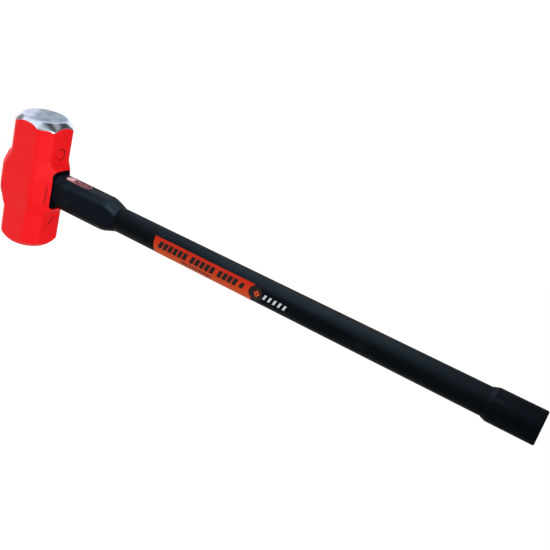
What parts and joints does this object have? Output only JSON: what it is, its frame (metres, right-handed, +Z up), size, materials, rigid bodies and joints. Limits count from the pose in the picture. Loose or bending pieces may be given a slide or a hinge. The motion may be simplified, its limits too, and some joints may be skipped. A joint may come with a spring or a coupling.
{
  "type": "sledgehammer",
  "caption": "Double-faced sledgehammer with an octagonal painted head, crowned striking faces and a rubber-covered steel-rod handle with a butt collar.",
  "frame": {"origin": "middle of the flat rest face on the head's eye boss, where the hammer stands head down with its handle up", "axes": "+Z up the handle towards the butt; X is the striking direction, with the bare polished face on -X; Y is the side of the head, with the label facing -Y"},
  "size_m": [0.179, 0.072, 0.762],
  "materials": {
    "head_paint": "bright red-orange enamel over forged steel, with the near striking face and its bevel left bare and polished",
    "plate_steel": "zinc-passivated plate, satin",
    "spring_steel": "drawn spring steel with peened ends",
    "rubber_black": "matte vulcanised rubber with a faint mould grain",
    "eye_rubber": "matte cast rubber",
    "spacer_nylon": "glass-filled nylon",
    "label_orange": "printed vinyl film, orange-red with plain dark bars",
    "emblem_dark": "printed vinyl film, dark with a plain orange diamond",
    "badge_red": "printed badge, dark red field with a pale pink rim"
  },
  "bodies": {
    "root": {"head": "head_paint", "rest_lock_plate": "plate_steel", "grip_lock_plate": "plate_steel", "eye_filler": "eye_rubber", "neck_boot": "rubber_black", "shaft_sleeve": "rubber_black", "butt_collar": "rubber_black", "neck_badge": "badge_red", "rod_1": "spring_steel", "rod_2": "spring_steel", "rod_3": "spring_steel", "rod_4": "spring_steel", "rod_5": "spring_steel", "rod_6": "spring_steel", "rod_spacer_1": "spacer_nylon", "rod_spacer_2": "spacer_nylon", "rod_spacer_3": "spacer_nylon", "rod_spacer_4": "spacer_nylon", "butt_plate": "plate_steel", "label_decal": "label_orange", "emblem_decal": "emblem_dark"}
  },
  "joints": []
}
